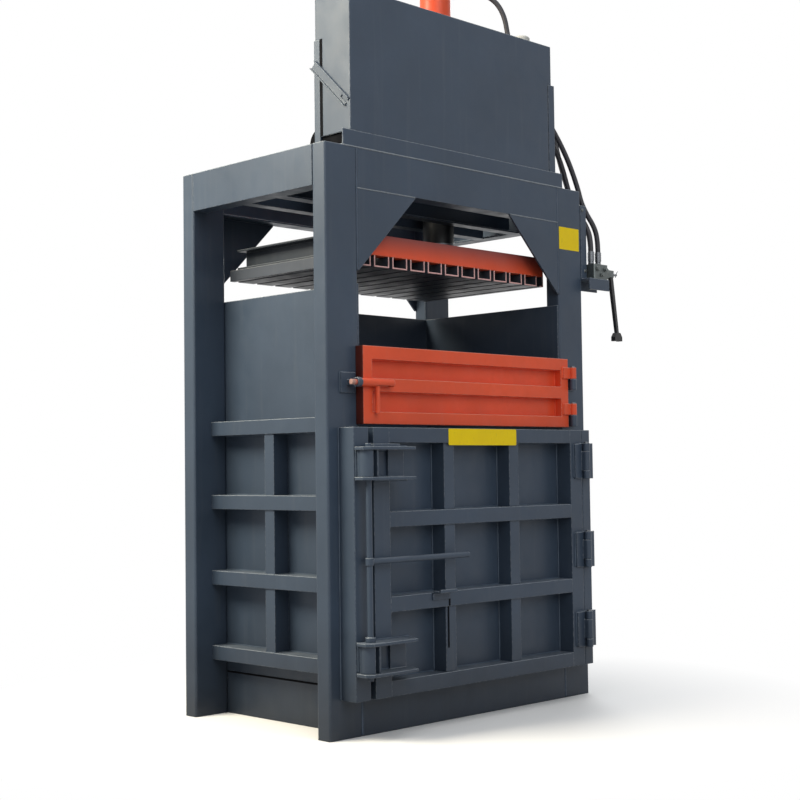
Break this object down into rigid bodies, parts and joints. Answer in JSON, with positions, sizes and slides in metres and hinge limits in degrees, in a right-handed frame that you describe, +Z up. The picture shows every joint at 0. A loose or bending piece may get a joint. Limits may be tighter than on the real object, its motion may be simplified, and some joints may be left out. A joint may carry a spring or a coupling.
{
  "type": "recycling baler",
  "caption": "Vertical hydraulic press that packs waste into tied bales, with a lockable chamber door, a hinged feed gate and a slotted platen under a steel portal frame.",
  "frame": {"origin": "centre of the frame's footprint, on the floor", "axes": "+X to the right seen from the front, +Y to the back, +Z up"},
  "size_m": [1.983, 1.1595, 3.472],
  "materials": {
    "frame_paint": "satin slate-grey machine enamel",
    "press_paint": "satin orange-red machine enamel",
    "platen_paint": "satin grey enamel, worn",
    "steel": "machined steel",
    "rod_chrome": "hard chrome, polished",
    "black_plastic": "matt black",
    "zinc": "zinc plated",
    "cap_plastic": "pale grey",
    "hose_rubber": "matt black hose cover",
    "motor_paint": "satin blue-grey enamel"
  },
  "bodies": {
    "frame": {"front_posts": "frame_paint", "rear_posts": "frame_paint", "side_top_beams": "frame_paint", "front_and_rear_top_beams": "frame_paint", "corner_gussets": "frame_paint", "cylinder_cross_beams": "frame_paint", "side_wall_ribs": "frame_paint", "left_wall": "frame_paint", "right_wall": "frame_paint", "rear_wall": "frame_paint", "rear_wall_ribs": "frame_paint", "base_beams": "frame_paint", "floor_bearers": "frame_paint", "floor_plate": "frame_paint", "floor_bars": "frame_paint", "lock_column": "frame_paint", "hinge_column": "frame_paint", "hinge_pins": "steel", "door_hinge_ears": "frame_paint", "lock_keepers": "frame_paint", "gate_hinge_mates": "frame_paint", "gate_keeper": "frame_paint", "cylinder_barrels": "press_paint", "cylinder_glands": "steel", "cylinder_mount_plates": "frame_paint", "cylinder_ports": "steel", "hood_base_rails": "frame_paint", "hood_cover": "frame_paint", "hood_uprights": "frame_paint", "hood_brace": "frame_paint", "oil_tank": "frame_paint", "tank_cap": "cap_plastic", "pump_motor": "motor_paint", "hydraulic_pump": "motor_paint", "valve_bracket": "frame_paint", "valve_body": "zinc", "hose_fittings": "steel", "cylinder_hose": "hose_rubber", "pump_hose": "hose_rubber", "tank_hose": "hose_rubber"},
    "door": {"door_panel": "frame_paint", "door_rails": "frame_paint", "door_uprights": "frame_paint", "door_stiles": "frame_paint", "door_hinge_knuckles": "frame_paint", "lock_lugs": "frame_paint", "lever_rest": "frame_paint"},
    "door_lock": {"lock_shaft": "frame_paint", "lock_lever": "frame_paint"},
    "feed_gate": {"gate_frame": "press_paint", "gate_panel": "press_paint", "gate_hinge_knuckles": "press_paint", "bolt_guide": "press_paint"},
    "gate_bolt": {"gate_bolt": "press_paint"},
    "platen": {"platen_channels": "platen_paint", "platen_front_beam": "press_paint", "platen_frame": "platen_paint", "piston_rods": "rod_chrome"},
    "valve_lever": {"valve_handle": "black_plastic", "valve_knob": "black_plastic"}
  },
  "joints": [
    {"name": "door_hinge", "type": "hinge", "parent": "frame", "child": "door", "pos_m": [0.702, -0.608, 0.705], "axis": [0, 0, 1], "range_deg": [0, 135]},
    {"name": "lock_turn", "type": "hinge", "parent": "door", "child": "door_lock", "pos_m": [-0.743, -0.622, 0.725], "axis": [0, 0, -1], "range_deg": [0, 90]},
    {"name": "gate_hinge", "type": "hinge", "parent": "frame", "child": "feed_gate", "pos_m": [0.688, -0.546, 1.45], "axis": [0, 0, 1], "range_deg": [0, 150]},
    {"name": "bolt_slide", "type": "slide", "parent": "feed_gate", "child": "gate_bolt", "axis": [1, 0, 0], "range_m": [0, 0.06]},
    {"name": "platen_slide", "type": "slide", "parent": "frame", "child": "platen", "axis": [0, 0, -1], "range_m": [0, 1.15]},
    {"name": "valve_tilt", "type": "hinge", "parent": "frame", "child": "valve_lever", "pos_m": [1.064, -0.497, 2.058], "axis": [0, 1, 0], "range_deg": [-14, 14]}
  ]
}
